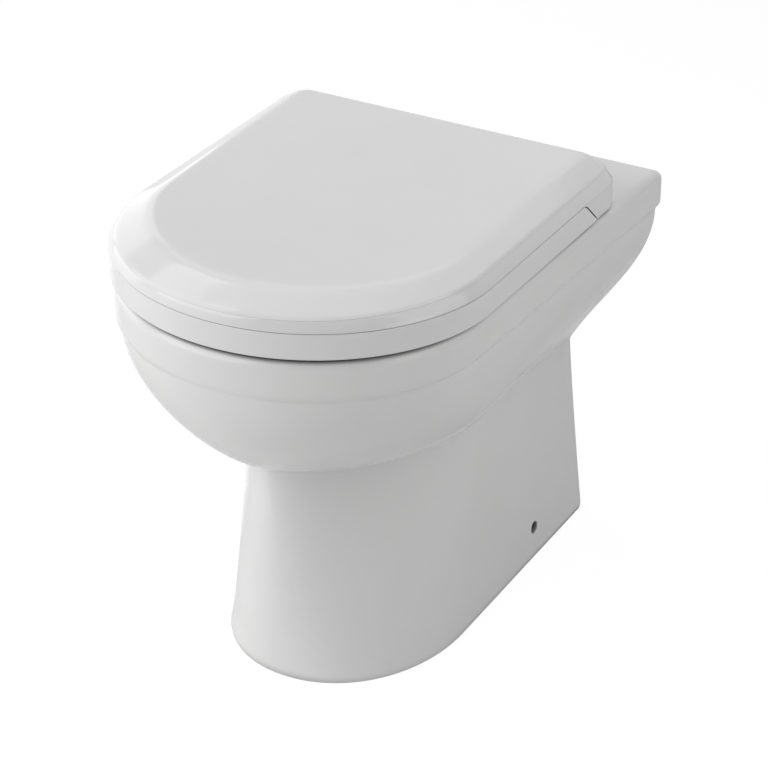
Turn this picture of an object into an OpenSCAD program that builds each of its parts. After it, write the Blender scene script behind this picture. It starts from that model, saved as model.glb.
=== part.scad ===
// Back to wall toilet pan with a soft close seat and lid.
// Millimetres, +Z up, the front faces -Y and the wall plane is at +Y.

/* [Pan] */
// Depth from the front of the seat to the wall
pan_depth = 516; // [490:1:560]
// Height of the rim above the floor
rim_height = 400; // [385:1:430]
// Width of the rim at the wall
pan_width = 368; // [350:1:380]
// Width of the rim where the rounded front starts
collar_width = 353; // [345:1:356]
// Height of the upright band under the rim
collar_height = 34; // [28:1:40]
// How far the ledge under that band steps in
ledge_step = 5; // [3:0.5:8]
// Width of the foot on the floor
foot_width = 226; // [216:1:240]
// Width of the foot at the wall
foot_rear_width = 227; // [210:1:236]
// Distance from the front of the seat back to the front of the foot
foot_setback = 112; // [100:1:130]
// Thickness of the china walls
china_wall = 12; // [10:0.5:14]
// Width of the opening inside the rim
bowl_width = 240; // [228:1:250]
// Distance from the wall to the back of that opening
bowl_setback = 168; // [160:1:176]
// Height of the sump floor above the floor
sump_floor = 72; // [66:1:80]

/* [Waste and water] */
// Outer diameter of the soil outlet spigot
outlet_d = 102; // [98:0.5:110]
// Height of the middle of the soil outlet
outlet_height = 180; // [175:1:190]
// Inner radius of the trap passage
trap_bore_r = 35; // [32:0.5:37]
// Bend radius of the trap passage
trap_bend_r = 46; // [45:0.5:48]
// Diameter of the flush inlet hole
inlet_d = 55; // [50:0.5:58]
// Height of the middle of the flush inlet
inlet_height = 335; // [325:1:340]

/* [Seat and lid] */
// Width of the seat
seat_width = 362; // [350:1:366]
// Thickness of the seat ring at its outer edge
seat_thickness = 24.8; // [20:0.1:28]
// Gap between the rim and the seat, filled by the buffers
seat_gap = 3.5; // [3.2:0.1:5]
// Width of the seat opening
seat_opening_width = 216; // [200:1:226]
// Distance from the wall to the back of the seat opening
seat_opening_setback = 186; // [178:1:196]
// Height of the closed lid above its seam with the seat
lid_height = 22.6; // [20:0.1:26]
// Height of the upright band around the lid
lid_band = 10.5; // [8:0.5:12]
// How far the upright band leans in on the sides of the lid
lid_band_lean = 7.5; // [4:0.5:12]
// Width of the flat top of the lid
lid_flat_width = 300; // [290:1:316]
// Thickness of the lid moulding
lid_wall = 3.5; // [3:0.1:4.5]
// Gap between the lid and the seat behind the ears
seam_gap = 0.8; // [0.5:0.1:1.5]

/* [Hinges] */
// Distance between the two seat fixing bolts
hinge_spacing = 155; // [140:1:170]
// Distance from the wall to the hinge axis
hinge_setback = 98; // [94:1:104]
// Height of the hinge axis above the rim
hinge_rise = 33; // [32:0.5:34]
// Diameter of the hinge pins
hinge_pin_d = 8; // [6:0.5:9]
// Radial running clearance of the hinge pins
pin_clearance = 0.06; // [0.03:0.01:0.1]
// Radius of the hinge knuckles
knuckle_r = 9.5; // [8.5:0.1:10]
// Diameter of the seat fixing bolts
bolt_d = 8; // [6:0.5:9]
// Diameter of the fixing holes in the rim
bolt_hole_d = 16; // [14:0.5:17]

/* [Floor fixing] */
// Diameter of the holes in the sides of the foot
side_hole_d = 13; // [11:0.5:15]
// Height of those holes above the floor
side_hole_height = 32; // [28:1:40]
// Distance from the wall to those holes
side_hole_setback = 103; // [90:1:120]
// Thickness of the floor brackets
bracket_wall = 4; // [3:0.5:5]
// Distance between the two floor screws of a bracket
bracket_spacing = 50; // [40:1:60]
// Diameter of the floor screw holes
bracket_hole_d = 7; // [5.5:0.5:9]

/* [Hidden] */
$fn = 48;

// Counts of points around every ring of a moulded skin
front_steps = 28;
side_steps = 5;
corner_steps = 3;
back_steps = 4;
rear_steps = 2 * (side_steps + corner_steps) + back_steps;
ring_points = front_steps + rear_steps;

// Places along the depth
wall_y = pan_depth / 2;
front_y = -pan_depth / 2;
straight_y = front_y + 171;
hinge_y = wall_y - hinge_setback;
hinge_z = rim_height + hinge_rise;
side_hole_y = wall_y - side_hole_setback;

// Pan
rim_round = 9;
rear_round = 5;
bowl_round = 5;
round_mid = 0.29;
rim_top_half = collar_width / 2;
wall_half = pan_width / 2;
ledge_top_z = rim_height - collar_height;
ledge_slope = 7.5;
ledge_z = ledge_top_z - ledge_slope;
ledge_half = rim_top_half - ledge_step;
ledge_tip_y = front_y + 4;
collar_tip_y = front_y + 1.5;
foot_half = foot_width / 2;
foot_tip_y = front_y + foot_setback;
foot_straight_y = foot_tip_y + 142;
foot_wall_half = foot_rear_width / 2;
neck_half = 98;
neck_tip_y = front_y + 93;
neck_straight_y = neck_tip_y + 224;
neck_wall_half = 94;
neck_side_z = rim_height - 189.5;
neck_tip_z = rim_height - 162;
neck_wall_z = rim_height - 205;
pan_corner_r = 1.5;
foot_round = 20;
foot_corner = 5;
toe_flare = 1.6;

// Bowl, channel under the rim and underside of the deck
bowl_half = bowl_width / 2;
bowl_front_y = front_y + 53;
bowl_back_y = wall_y - bowl_setback;
sump_half = 46;
sump_length = 96;
sump_setback = 225;
sump_back_y = wall_y - sump_setback;
sump_front_y = sump_back_y - sump_length;
bowl_shell = 11;
trap_wall = 8;
channel_depth = 16;
channel_floor_z = rim_height - 48;
channel_top_z = rim_height - 14;
lip_bottom_z = rim_height - 36;
lip_wall = 8;
deck_under_z = rim_height - 16;
cavity_top_z = rim_height - 55;
deck_pocket_half = 148;
deck_pocket_front_y = bowl_back_y + channel_depth + 10;
deck_pocket_length = wall_y - china_wall - deck_pocket_front_y;
back_opening_half = 72;
wall_cut = 20;

// Seat and lid
seat_half = seat_width / 2;
seat_under_z = rim_height + seat_gap;
seat_top_z = seat_under_z + seat_thickness;
opening_half = seat_opening_width / 2;
opening_front_y = front_y + 60;
opening_back_y = wall_y - seat_opening_setback;
seat_end_top_y = hinge_y - 62;
seat_end_under_y = hinge_y - 35;
seat_end_round = 14;
lid_seam_z = seat_top_z + 0.4;
lid_top_z = seat_top_z + lid_height;
lid_band_z = lid_seam_z + lid_band;
lid_back_y = hinge_y + 13.5;
lid_back_top_y = hinge_y - 3;
lid_flat_half = lid_flat_width / 2;
lid_band_half = seat_half - lid_band_lean;
lid_flat_front_y = front_y + 32;
ear_under_z = rim_height + 2.6;
lid_corner_r = 10;
lid_rib = 8;

// Hinges, as distances out from the middle plane
half_spacing = hinge_spacing / 2;
bolt_y = hinge_y - 23.5;
pin_r = hinge_pin_d / 2;
bore_r = pin_r + pin_clearance;
bolt_r = bolt_d / 2;
seat_lug_in = half_spacing - 28;
seat_lug_out = half_spacing - 12;
pillar_in = half_spacing - 11;
pillar_out = half_spacing + 11;
lid_lug_in = half_spacing + 21.5;
lid_lug_out = half_spacing + 37.5;
damper_length = 35;
damper_gap = 0.3;
pin_grip = 10;
notch_in = seat_lug_in - 2;
notch_out = lid_lug_in - 1.5;
notch_y = hinge_y + knuckle_r - 3.1;
notch_top_z = hinge_z + 7.5;
pocket_in = seat_lug_in - damper_length - 2.5;
pocket_out = lid_lug_out + damper_length + 2.5;
pocket_room = 0.5;
clip_r = 6.5;
clip_wall = 1;
clip_gap = 0.5;
gasket_wall = 0.8;
base_wall = 2.2;
base_r = 17;
base_top_z = rim_height + gasket_wall + base_wall;
pillar_half = 8;
pillar_foot_r = 10;
pillar_foot_h = 9;
head_r = 6.4;
head_h = 5;
washer_r = 13;
washer_wall = 3.7;
nut_r = 8;
nut_h = 8.6;
wing_reach = 9;
wing_wall = 3;
fastener_gap = 0.3;
bolt_end_z = deck_under_z - washer_wall - nut_h - 3;

// Floor fixing
bracket_length = 76;
bracket_height = 52;
bracket_foot = 34;
bracket_x = 88;
bracket_boss_r = 7;
side_screw_r = 2.5;
side_head_r = 4.6;
side_head_h = 2.6;
side_wall_x = foot_half - china_wall - 4.5;
sleeve_length = 3;
side_head_x = side_wall_x + 0.5 + sleeve_length;

white_china = [0.95, 0.95, 0.95];
white_plastic = [0.93, 0.93, 0.93];
steel = [0.75, 0.76, 0.78];
rubber_grey = [0.35, 0.36, 0.37];

// ---- curves ----

function mix(a, b, t) = a + (b - a) * t;
function ease(t) = t * t * (3 - 2 * t);
function clamp01(t) = max(0, min(1, t));
// Quarter turn from 0 to 1, fuller as p grows and steeper at the start as e falls
function quarter(t, e, p) = pow(1 - pow(1 - pow(t, e), p), 1 / p);

// Rounded front of an outline, from its right side round the front to its left side
function front_arc(half, tip_y, mid_y, n) = [
  for (i = [0 : front_steps])
    let (t = 180 * i / front_steps, c = cos(t), s = max(0, sin(t)))
      [half * sign(c) * pow(abs(c), 2 / n), mid_y - (mid_y - tip_y) * pow(s, 2 / n)]
];

// Rear of a D outline: left side, left corner, back, right corner, right side
function d_rear_left(half, rear_half, mid_y, back_y, r) = concat(
  [for (k = [1 : side_steps])
    let (t = k / side_steps)
      [-mix(half, rear_half, t), mix(mid_y, back_y - r, t)]],
  [for (k = [1 : corner_steps])
    let (a = 90 * k / corner_steps)
      [-rear_half + r - r * cos(a), back_y - r + r * sin(a)]],
  [for (k = [1 : back_steps / 2])
    [-(rear_half - r) * (1 - 2 * k / back_steps), back_y]]
);
function mirrored(points) = [for (i = [len(points) - 2 : -1 : 0]) [-points[i][0], points[i][1]]];
function d_outline(half, tip_y, mid_y, n, rear_half, back_y, r) =
  let (left = d_rear_left(half, rear_half, mid_y, back_y, r))
    concat(front_arc(half, tip_y, mid_y, n), left, mirrored(left));

// Egg outline of the bowl and of the seat opening, with the same number of points
function egg_outline(half, tip_y, back_y, n, mid = 0.55) =
  let (mid_y = mix(tip_y, back_y, mid))
    concat(
      front_arc(half, tip_y, mid_y, n),
      [for (k = [1 : rear_steps - 1])
        let (t = 180 * k / rear_steps)
          [-half * cos(t), mid_y + (back_y - mid_y) * sin(t)]]
    );

function level(outline, z) = [for (p = outline) [p[0], p[1], z]];

// Closed skin through a list of rings, each end of which closes on a point a little above it
module skin(rings, crown) {
  n = len(rings[0]);
  last = len(rings) - 1;
  size = n * len(rings);
  tops = [for (r = [rings[0], rings[last]]) [0, (r[0][1] + r[n - 1][1]) / 2, r[0][2] + crown]];
  points = concat([for (r = rings) for (p = r) p], tops);
  sides = [
    for (j = [0 : last - 1]) for (i = [0 : n - 1])
      let (k = (i + 1) % n, a = j * n + i, b = j * n + k, c = a + n, d = b + n)
        each [[a, c, b], [b, c, d]]
  ];
  caps = [
    for (i = [0 : n - 1])
      let (k = (i + 1) % n)
        each [[i, k, size], [last * n + k, last * n + i, size + 1]]
  ];
  polyhedron(points, concat(sides, caps), convexity = 10);
}

// Closed tube through rings that meet end to end
module loop_skin(rings) {
  n = len(rings[0]);
  count = len(rings);
  points = [for (r = rings) for (p = r) p];
  sides = [
    for (j = [0 : count - 1]) for (i = [0 : n - 1])
      let (k = (i + 1) % n, m = (j + 1) % count)
        each [[j * n + i, j * n + k, m * n + i], [j * n + k, m * n + k, m * n + i]]
  ];
  polyhedron(points, sides, convexity = 10);
}

// ---- pan ----

// Height of the line where the bowl meets the pedestal, for each point of an outline
function neck_z(i) =
  i <= front_steps
    ? mix(neck_side_z, neck_tip_z, pow(sin(180 * i / front_steps), 2))
    : let (k = min(i - front_steps, ring_points - i))
        mix(neck_side_z, neck_wall_z, min(1, k / side_steps));

// Half width of the bowl's back at the wall
function flare(u) = mix(ease(u), sin(90 * u), 0.65);

// Outside of the bowl: u is 0 at the pedestal and 1 at the ledge, inset is the wall's depth
function hull_ring(u, inset) =
  let (
    side = quarter(u, 1.1, 1.7),
    tip = quarter(u, 1.12, 1.76),
    outline = d_outline(
      mix(neck_half, ledge_half, side) - inset,
      mix(neck_tip_y, ledge_tip_y, tip) + inset,
      mix(neck_straight_y, straight_y, side),
      mix(1.7, 2.02, side),
      mix(neck_wall_half, wall_half - ledge_step, flare(u)) - inset,
      wall_y - inset,
      pan_corner_r
    )
  )
    [for (i = [0 : ring_points - 1])
      [outline[i][0], outline[i][1], mix(neck_z(i) + inset, ledge_z, u)]];

// Outside of the pedestal: k is 0 on the floor and 1 at the bowl
function pedestal_ring(k, inset) =
  let (
    toe = toe_flare * pow(1 - clamp01(k * 5), 2),
    corner = foot_corner * pow(1 - clamp01(k * neck_side_z / foot_round), 2),
    outline = d_outline(
      mix(foot_half, neck_half, k) + toe - inset,
      mix(foot_tip_y, neck_tip_y, k) - toe + inset,
      mix(foot_straight_y, neck_straight_y, k),
      mix(2.08, 1.7, k),
      mix(neck_wall_half, foot_wall_half, pow(1 - k, 1.15)) - corner - inset,
      wall_y - inset,
      pan_corner_r
    )
  )
    [for (i = [0 : ring_points - 1]) [outline[i][0], outline[i][1], k * neck_z(i)]];

function rim_outline(half, tip_y, rear_half, back_y) =
  d_outline(half, tip_y, straight_y, 2.02, rear_half, back_y, pan_corner_r);

// Inside of the bowl, from the sump to the shelf under the rim
function bowl_ring(u, out) =
  egg_outline(
    mix(sump_half, bowl_half - 2, pow(u, 1.35)) + out,
    mix(sump_front_y, bowl_front_y + 5, pow(u, 1.3)) - out,
    mix(sump_back_y, bowl_back_y, pow(u, 1.3)) + out,
    mix(1.75, 2, u)
  );
function bowl_z(u) = mix(u_z, channel_floor_z - 4, u);

function bowl_inside() =
  [for (k = [1 : 8]) level(bowl_ring(pow(k / 8, 1.3), 0), bowl_z(pow(k / 8, 1.3)))];
function bowl_outside() =
  [for (k = [6 : -1 : 1])
    let (u = pow(k / 7, 1.2))
      level(bowl_ring(u, mix(trap_wall, bowl_shell, u)), bowl_z(u) - 5 * u)];

function rim_inside() =
  let (
    hidden = [bowl_half + channel_depth, bowl_front_y - channel_depth, bowl_back_y + channel_depth],
    lip = [bowl_half + lip_wall, bowl_front_y - lip_wall, bowl_back_y + lip_wall]
  )
  [
    level(egg_outline(hidden[0] - 4, hidden[1] + 4, hidden[2] - 4, 2), channel_floor_z),
    level(egg_outline(hidden[0], hidden[1], hidden[2], 2), channel_floor_z + 5),
    level(egg_outline(hidden[0], hidden[1], hidden[2], 2), channel_top_z),
    level(egg_outline(lip[0], lip[1], lip[2], 2), channel_top_z),
    level(egg_outline(lip[0] - 1, lip[1] + 1, lip[2] - 1, 2), lip_bottom_z + 1.5),
    level(egg_outline(bowl_half + 4, bowl_front_y - 4, bowl_back_y + 4, 2), lip_bottom_z),
    level(egg_outline(bowl_half, bowl_front_y, bowl_back_y, 2), lip_bottom_z + 3),
    level(egg_outline(bowl_half, bowl_front_y, bowl_back_y, 2), rim_height - bowl_round),
    level(egg_outline(bowl_half + 1.5, bowl_front_y - 1.5, bowl_back_y + 1.5, 2), rim_height - 1.5),
    level(egg_outline(bowl_half + 5, bowl_front_y - 5, bowl_back_y + 5, 2), rim_height)
  ];

// Ring of the rounded edge of the rim, with shares of its radius
function rim_edge(inset, fall) = level(
  rim_outline(rim_top_half - rim_round * inset, collar_tip_y + rim_round * inset,
    wall_half - rim_round * inset, wall_y - rear_round * inset),
  rim_height - rim_round * fall
);
function rim_outside() = [
  rim_edge(1, 0),
  rim_edge(round_mid, round_mid),
  rim_edge(0, 1),
  level(rim_outline(rim_top_half, collar_tip_y, wall_half, wall_y), rim_height - 12),
  level(rim_outline(rim_top_half, collar_tip_y, wall_half, wall_y), ledge_top_z),
  level(rim_outline(rim_top_half - 1.4, collar_tip_y + 1, wall_half - 1, wall_y), ledge_top_z - 4)
];

function pan_hollow() = concat(
  [for (k = [0, 0.25, 0.5, 0.75, 0.98]) pedestal_ring(k, china_wall)],
  [for (u = [0.08, 0.2, 0.4, 0.6, 0.85]) hull_ring(u, china_wall)],
  [
    level(rim_outline(ledge_half - china_wall, ledge_tip_y + china_wall,
      wall_half - ledge_step - china_wall, wall_y - china_wall), cavity_top_z),
    level(egg_outline(bowl_half + bowl_shell - 1, bowl_front_y - bowl_shell + 3,
      bowl_back_y + bowl_shell, 2), cavity_top_z)
  ],
  bowl_outside()
);

// Trap in the YZ plane: down out of the bowl, round the U bend, over the weir and out to the wall.
// A trap ring stands square to the flow, which heads along the angle turn; out is the wall's depth.
rise_angle = 70;
fall_angle = 60;
u_y = sump_back_y + trap_wall + 3;
u_z = sump_floor + trap_bore_r + trap_bend_r;
riser_y = u_y + trap_bend_r * sin(rise_angle);
riser_z = u_z - trap_bend_r * cos(rise_angle);
drop = trap_bend_r * (1 - cos(fall_angle));
crest_z = outlet_height + 2 * drop;
riser = (crest_z - trap_bend_r * (1 - cos(rise_angle)) - riser_z) / sin(rise_angle);
crest_y = riser_y + riser * cos(rise_angle) + trap_bend_r * sin(rise_angle);
outlet_bend_y = crest_y + 2 * trap_bend_r * sin(fall_angle);
spigot_end_y = wall_y - 14;
spigot_length = 18;

function trap_ring(y, z, turn, half_w, half_l, out) =
  [for (p = egg_outline(half_w + out, -half_l - out, half_l + out, 2, 0.5))
    [p[0], y - p[1] * sin(turn), z + p[1] * cos(turn)]];
function bend_ring(y, z, turn, r, out) =
  trap_ring(y + r * sin(turn), z - r * cos(turn), turn, trap_bore_r, trap_bore_r, out);
function u_ring(turn, out) =
  let (
    t = ease(clamp01((turn + 90) / 80)),
    half_l = mix(sump_length / 2, trap_bore_r, t),
    r = half_l + trap_bend_r - trap_bore_r
  )
    trap_ring(u_y + r * sin(turn), u_z - r * cos(turn), turn,
      mix(sump_half, trap_bore_r, t), half_l, out);
function trap_rings(out) = concat(
  [trap_ring(spigot_end_y - 6, outlet_height, 0, trap_bore_r, trap_bore_r, out)],
  [for (k = [0 : 3])
    bend_ring(outlet_bend_y, outlet_height + trap_bend_r, -fall_angle * k / 4, trap_bend_r, out)],
  [for (k = [0 : 6])
    bend_ring(crest_y, crest_z - trap_bend_r, mix(-fall_angle, rise_angle, k / 6), -trap_bend_r, out)],
  [for (k = [0 : 9]) u_ring(mix(rise_angle, -90, k / 9), out)]
);
function reversed(list) = [for (i = [len(list) - 1 : -1 : 0]) list[i]];

module pan_casting() {
  loop_skin(reversed(concat(
    trap_rings(0),
    bowl_inside(),
    rim_inside(),
    rim_outside(),
    [for (k = [12 : -1 : 0]) hull_ring(pow(k / 12, 1.35), 0)],
    [for (k = [6 : -1 : 0]) pedestal_ring(pow(k / 7, 1.1), 0)],
    pan_hollow(),
    reversed(trap_rings(trap_wall))
  )));
}

// Duct that carries the flush from the inlet to the channel under the rim
duct_r = 20;
duct_wall = 7;
duct_end_y = bowl_back_y + channel_depth - 3;
duct_end_z = (channel_floor_z + channel_top_z) / 2 - 3;
duct_start_y = wall_y - china_wall / 2;
duct_angle = atan2(duct_end_z - inlet_height, duct_start_y - duct_end_y);
duct_length = norm([duct_end_z - inlet_height, duct_start_y - duct_end_y]);
module flush_duct(r, over) {
  translate([0, duct_start_y + over, inlet_height])
    rotate([90 - duct_angle, 0, 0])
      cylinder(r = r, h = duct_length + over);
}

module soil_spigot() {
  translate([0, spigot_end_y, outlet_height])
    rotate([90, 0, 0])
      difference() {
        cylinder(d = outlet_d, h = spigot_length);
        translate([0, 0, -1]) cylinder(r = trap_bore_r + trap_wall / 2, h = spigot_length + 2);
      }
}

module pan() color(white_china) difference() {
  union() {
    difference() {
      pan_casting();
      translate([-back_opening_half, wall_y - wall_cut, -1])
        cube([2 * back_opening_half, 2 * wall_cut, outlet_height + 1]);
      translate([0, wall_y - wall_cut, outlet_height])
        rotate([-90, 0, 0])
          cylinder(r = back_opening_half, h = 2 * wall_cut);
      translate([-deck_pocket_half, deck_pocket_front_y, cavity_top_z - 5])
        cube([2 * deck_pocket_half, deck_pocket_length, deck_under_z - cavity_top_z + 5]);
    }
    soil_spigot();
    flush_duct(duct_r + duct_wall, 0);
  }
  flush_duct(duct_r, 1);
  translate([0, wall_y + 1, inlet_height])
    rotate([90, 0, 0])
      cylinder(d = inlet_d, h = china_wall + 6);
  for (s = [-1, 1]) {
    translate([s * half_spacing, bolt_y, deck_under_z - 10])
      cylinder(d = bolt_hole_d, h = 40);
    translate([s * (bracket_x - 10), side_hole_y, side_hole_height])
      rotate([0, s * 90, 0])
        cylinder(d = side_hole_d, h = foot_half - bracket_x + 30);
  }
}

// ---- seat and lid ----

// Extrudes a YZ outline across the part, from one X to another
module across(from, to) {
  translate([from, 0, 0])
    rotate([90, 0, 90])
      linear_extrude(to - from)
        children();
}
// Round bar or hole across the part on the hinge axis
module axle(from, to, r) {
  translate([from, hinge_y, hinge_z])
    rotate([0, 90, 0])
      cylinder(r = r, h = to - from);
}

// Side view of the seat with its sloping rear end, grown by a gap for the lid that closes on it
module seat_side(gap) {
  lean = atan2(seat_end_under_y - seat_end_top_y, seat_thickness);
  r = seat_end_round + gap;
  corner = r * tan((90 - lean) / 2);
  grow = gap / cos(lean);
  top_z = seat_top_z + gap;
  low_z = seat_under_z - 10;
  top_y = seat_end_top_y + grow - gap * tan(lean);
  polygon(concat(
    [[front_y - 20, low_z], [seat_end_under_y + grow + 10 * tan(lean), low_z]],
    [for (k = [0 : 6])
      let (a = mix(lean, 90, k / 6))
        [top_y - corner + r * cos(a), top_z - r + r * sin(a)]],
    [[front_y - 20, top_z]]
  ));
}

function seat_outline(inset) =
  d_outline(seat_half - inset, front_y + inset, straight_y, 2, seat_half - inset,
    seat_end_under_y + 8, 5);
function opening_outline(out) =
  egg_outline(opening_half + out, opening_front_y - out, opening_back_y + out, 2);
function blend(a, b, t) = [for (i = [0 : len(a) - 1]) a[i] * (1 - t) + b[i] * t];

module seat_body() {
  loop_skin([
    level(seat_outline(1.5), seat_under_z),
    level(seat_outline(0), seat_under_z + 1.5),
    level(seat_outline(0), seat_top_z - 1.2),
    level(seat_outline(1), seat_top_z),
    level(blend(seat_outline(0), opening_outline(0), 0.45), seat_top_z),
    level(blend(seat_outline(0), opening_outline(0), 0.72), seat_top_z - 1.4),
    level(opening_outline(9), seat_top_z - 4),
    level(opening_outline(3), seat_top_z - 7.5),
    level(opening_outline(0), seat_top_z - 12.5),
    level(opening_outline(0), seat_under_z + 4),
    level(opening_outline(2.5), seat_under_z)
  ]);
}

module seat_ring() color(white_plastic) difference() {
  union() {
    intersection() {
      seat_body();
      across(-seat_width, seat_width) seat_side(0);
    }
    for (s = [-1, 1])
      mirror([s < 0 ? 1 : 0, 0, 0]) {
        axle(seat_lug_in, seat_lug_out, knuckle_r);
        across(seat_lug_in, seat_lug_out)
          polygon([
            [hinge_y, hinge_z + knuckle_r], [seat_end_top_y + 4, seat_top_z - 2],
            [seat_end_under_y - 16, seat_under_z + 5], [hinge_y - 6, hinge_z - 7.3]
          ]);
      }
  }
  for (s = [-1, 1])
    mirror([s < 0 ? 1 : 0, 0, 0])
      axle(seat_lug_in - 1, seat_lug_out + 1, bore_r);
}

function lid_outline(half, tip_y, rear_half, back_y, n) =
  d_outline(half, tip_y, straight_y, n, rear_half, back_y, lid_corner_r);
// Ring of the lid's outside: t is 0 at the edge of its flat top and 1 at the band round its side
function lid_slope(t, in) =
  lid_outline(
    mix(lid_flat_half, lid_band_half, t) - in,
    mix(lid_flat_front_y, front_y + 2, t) + in,
    mix(lid_flat_half + 3, lid_band_half - 1, t) - in,
    mix(lid_back_top_y, lid_back_y - 2, t < 0 ? t : t * (1.25 - 0.25 * t)) - in,
    mix(1.9, 2, t)
  );
function lid_side(in, lean = 0) =
  lid_outline(seat_half - in - lean, front_y + in, seat_half - 1 - in - lean, lid_back_y - in, 2);

module lid_shell() {
  skin([
    level(lid_slope(-0.35, 0), lid_top_z),
    level(lid_slope(-0.12, 0), lid_top_z - 0.15),
    level(lid_slope(0.06, 0), lid_top_z - 0.9),
    level(lid_slope(0.26, 0), lid_top_z - 2.9),
    level(lid_slope(0.6, 0), mix(lid_top_z, lid_band_z, 0.6) + 0.6),
    level(lid_slope(0.88, 0), lid_band_z + 2.2),
    level(lid_slope(1, 0), lid_band_z),
    level(lid_side(0.4, lid_band_lean * 0.4), mix(lid_seam_z, lid_band_z, 0.45)),
    level(lid_side(0), lid_seam_z),
    level(lid_side(0), ear_under_z + 8),
    level(lid_side(1.2), ear_under_z + 2.4),
    level(lid_side(3), ear_under_z),
    level(lid_side(lid_wall + 2.4), ear_under_z),
    level(lid_side(lid_wall + 0.6), ear_under_z + 4),
    level(lid_side(lid_wall), lid_seam_z - 2),
    level(lid_slope(1, lid_wall - 0.8), lid_band_z - 2),
    level(lid_slope(0.6, lid_wall - 1), mix(lid_top_z, lid_band_z, 0.6) - 3),
    level(lid_slope(0.1, lid_wall), lid_top_z - lid_wall - 1),
    level(lid_slope(-0.4, lid_wall), lid_top_z - lid_wall - 0.5)
  ], 0.4);
}

lid_ceiling_z = lid_top_z - lid_wall - 0.5;
buffer_spread = 80;
seat_buffer_r = 8;
seat_buffer_places = [[rim_top_half - 27, 30], [buffer_spread, front_y + 57]];
lid_buffer_places = [[seat_half - 34, 20], [buffer_spread, front_y + 62]];
lid_buffer_r = 6;
lid_buffer_h = 5;
lid_boss_z = seat_top_z + fastener_gap + lid_buffer_h;

module lid() color(white_plastic) difference() {
  union() {
    difference() {
      lid_shell();
      across(-seat_width, seat_width) seat_side(seam_gap / 2);
      for (s = [-1, 1])
        mirror([s < 0 ? 1 : 0, 0, 0]) {
          axle(pocket_in, pocket_out, knuckle_r + pocket_room);
          translate([notch_in, notch_y, ear_under_z - 5])
            cube([notch_out - notch_in, 40, notch_top_z - ear_under_z + 5]);
        }
    }
    for (s = [-1, 1])
      mirror([s < 0 ? 1 : 0, 0, 0]) {
        axle(lid_lug_in, lid_lug_out, knuckle_r);
        translate([lid_lug_in, hinge_y - knuckle_r, hinge_z])
          cube([lid_lug_out - lid_lug_in, lid_rib, lid_ceiling_z - hinge_z + 1]);
        for (p = lid_buffer_places)
          translate([p[0], p[1], lid_boss_z])
            cylinder(r = lid_buffer_r + 1, h = lid_ceiling_z - lid_boss_z + 1);
      }
  }
  for (s = [-1, 1])
    mirror([s < 0 ? 1 : 0, 0, 0])
      axle(lid_lug_in - 1, lid_lug_out + 1, bore_r);
}

module lid_buffers() color(rubber_grey)
  for (s = [-1, 1]) for (p = lid_buffer_places)
    translate([s * p[0], p[1], seat_top_z + fastener_gap])
      cylinder(r = lid_buffer_r, h = lid_buffer_h);

module seat_buffers() color(rubber_grey)
  for (s = [-1, 1]) for (p = seat_buffer_places)
    translate([s * p[0], p[1], rim_height + fastener_gap])
      cylinder(r = seat_buffer_r, h = seat_gap - fastener_gap);

// ---- hinges: side is -1 on the left and 1 on the right ----

module sided(side) mirror([side < 0 ? 1 : 0, 0, 0]) children();

module hinge_pillar(side) color(steel) sided(side) difference() {
  union() {
    axle(pillar_in, pillar_out, knuckle_r);
    across(half_spacing - pillar_half, half_spacing + pillar_half)
      polygon([
        [hinge_y, hinge_z + knuckle_r], [bolt_y - 6, hinge_z + 5],
        [bolt_y - 6, base_top_z + 1], [bolt_y + 5, base_top_z + 1],
        [bolt_y + 5, hinge_z - 9], [hinge_y - 9, hinge_z - 3]
      ]);
    translate([half_spacing, bolt_y, base_top_z])
      cylinder(r = pillar_foot_r, h = pillar_foot_h);
  }
  axle(pillar_in - 1, pillar_out + 1, bore_r);
  translate([half_spacing, bolt_y, base_top_z - 1])
    cylinder(r = head_r + 0.3, h = head_h + 1.5);
}

module hinge_base(side) color(steel) sided(side)
  translate([half_spacing, bolt_y, rim_height + gasket_wall])
    difference() {
      cylinder(r = base_r, h = base_wall);
      translate([0, 0, -1]) cylinder(r = bolt_r + fastener_gap, h = base_wall + 2);
    }

module deck_gaskets() color(rubber_grey)
  for (s = [-1, 1])
    translate([s * half_spacing, bolt_y, rim_height])
      difference() {
        cylinder(r = base_r - 0.5, h = gasket_wall);
        translate([0, 0, -1]) cylinder(r = bolt_r + fastener_gap, h = gasket_wall + 2);
      }

// The left pin reaches into the seat's damper, and the right one into the lid's
module hinge_pin(side) color(steel) sided(side)
  axle(
    side < 0 ? seat_lug_in - pin_grip : seat_lug_in - 3,
    side < 0 ? lid_lug_out + 3 : lid_lug_out + pin_grip,
    pin_r
  );

module pin_clips() color(steel)
  for (place = [[-1, lid_lug_out + clip_gap], [1, seat_lug_in - clip_wall - clip_gap]])
    sided(place[0]) difference() {
      axle(place[1], place[1] + clip_wall, clip_r);
      axle(place[1] - 1, place[1] + clip_wall + 1, pin_r + 0.02);
    }

module damper(from, to, mouth) difference() {
  union() {
    axle(from, to, knuckle_r);
    axle(from - 2, to + 2, knuckle_r - 2.5);
  }
  axle(mouth - pin_grip - 0.5, mouth + pin_grip + 0.5, bore_r);
}
module seat_damper() color(rubber_grey) sided(-1)
  damper(seat_lug_in - damper_length, seat_lug_in - 2 - damper_gap, seat_lug_in);
module lid_damper() color(rubber_grey)
  damper(lid_lug_out + 2 + damper_gap, lid_lug_out + damper_length, lid_lug_out);

// ---- seat fixings ----

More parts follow.
